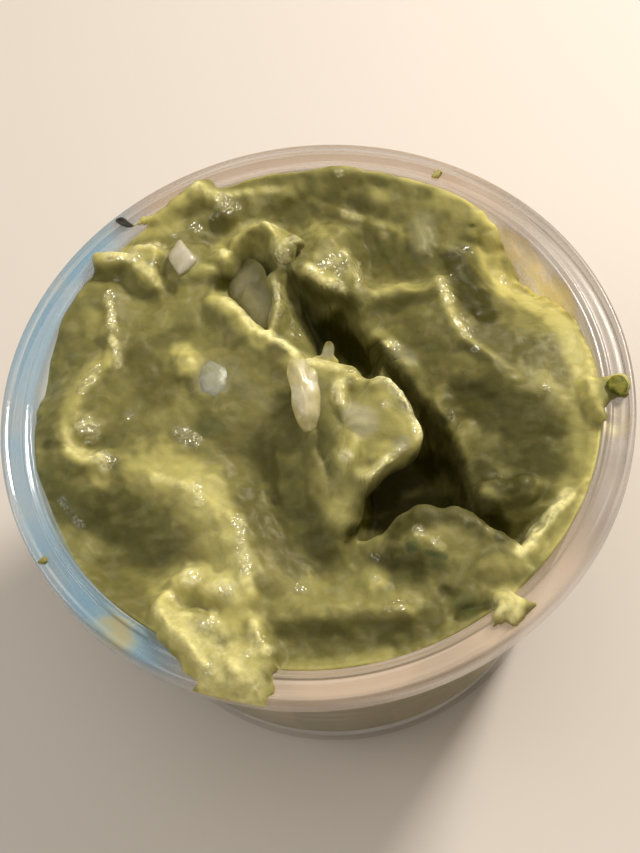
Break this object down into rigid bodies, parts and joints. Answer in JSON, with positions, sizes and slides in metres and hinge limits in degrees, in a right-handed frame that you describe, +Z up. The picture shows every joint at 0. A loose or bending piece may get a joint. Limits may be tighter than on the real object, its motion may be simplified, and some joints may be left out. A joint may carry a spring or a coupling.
{
  "type": "guacamole in a clear portion cup",
  "caption": "Clear round portion cup heaped with chunky guacamole, with folds, a deep hollow, diced onion and a herb leaf on the rim.",
  "frame": {"origin": "centre of the cup's base, on the surface it stands on", "axes": "+Z up along the cup's axis, -Y towards the front of the heap, +X to its right"},
  "size_m": [0.074, 0.074, 0.0456],
  "materials": {
    "cup_plastic": "clear thin plastic, glossy",
    "guacamole": "wet mashed avocado, olive yellow-green",
    "onion": "wet translucent white onion",
    "herb": "dark green herb leaf",
    "speck": "black charred flake"
  },
  "bodies": {
    "root": {"clear_cup": "cup_plastic", "guacamole": "guacamole", "onion_strip_centre": "onion", "onion_slice_hollow": "onion", "onion_dice_back": "onion", "onion_dice_left": "onion", "herb_leaf_rim": "herb", "dark_speck_rim": "speck"}
  },
  "joints": []
}
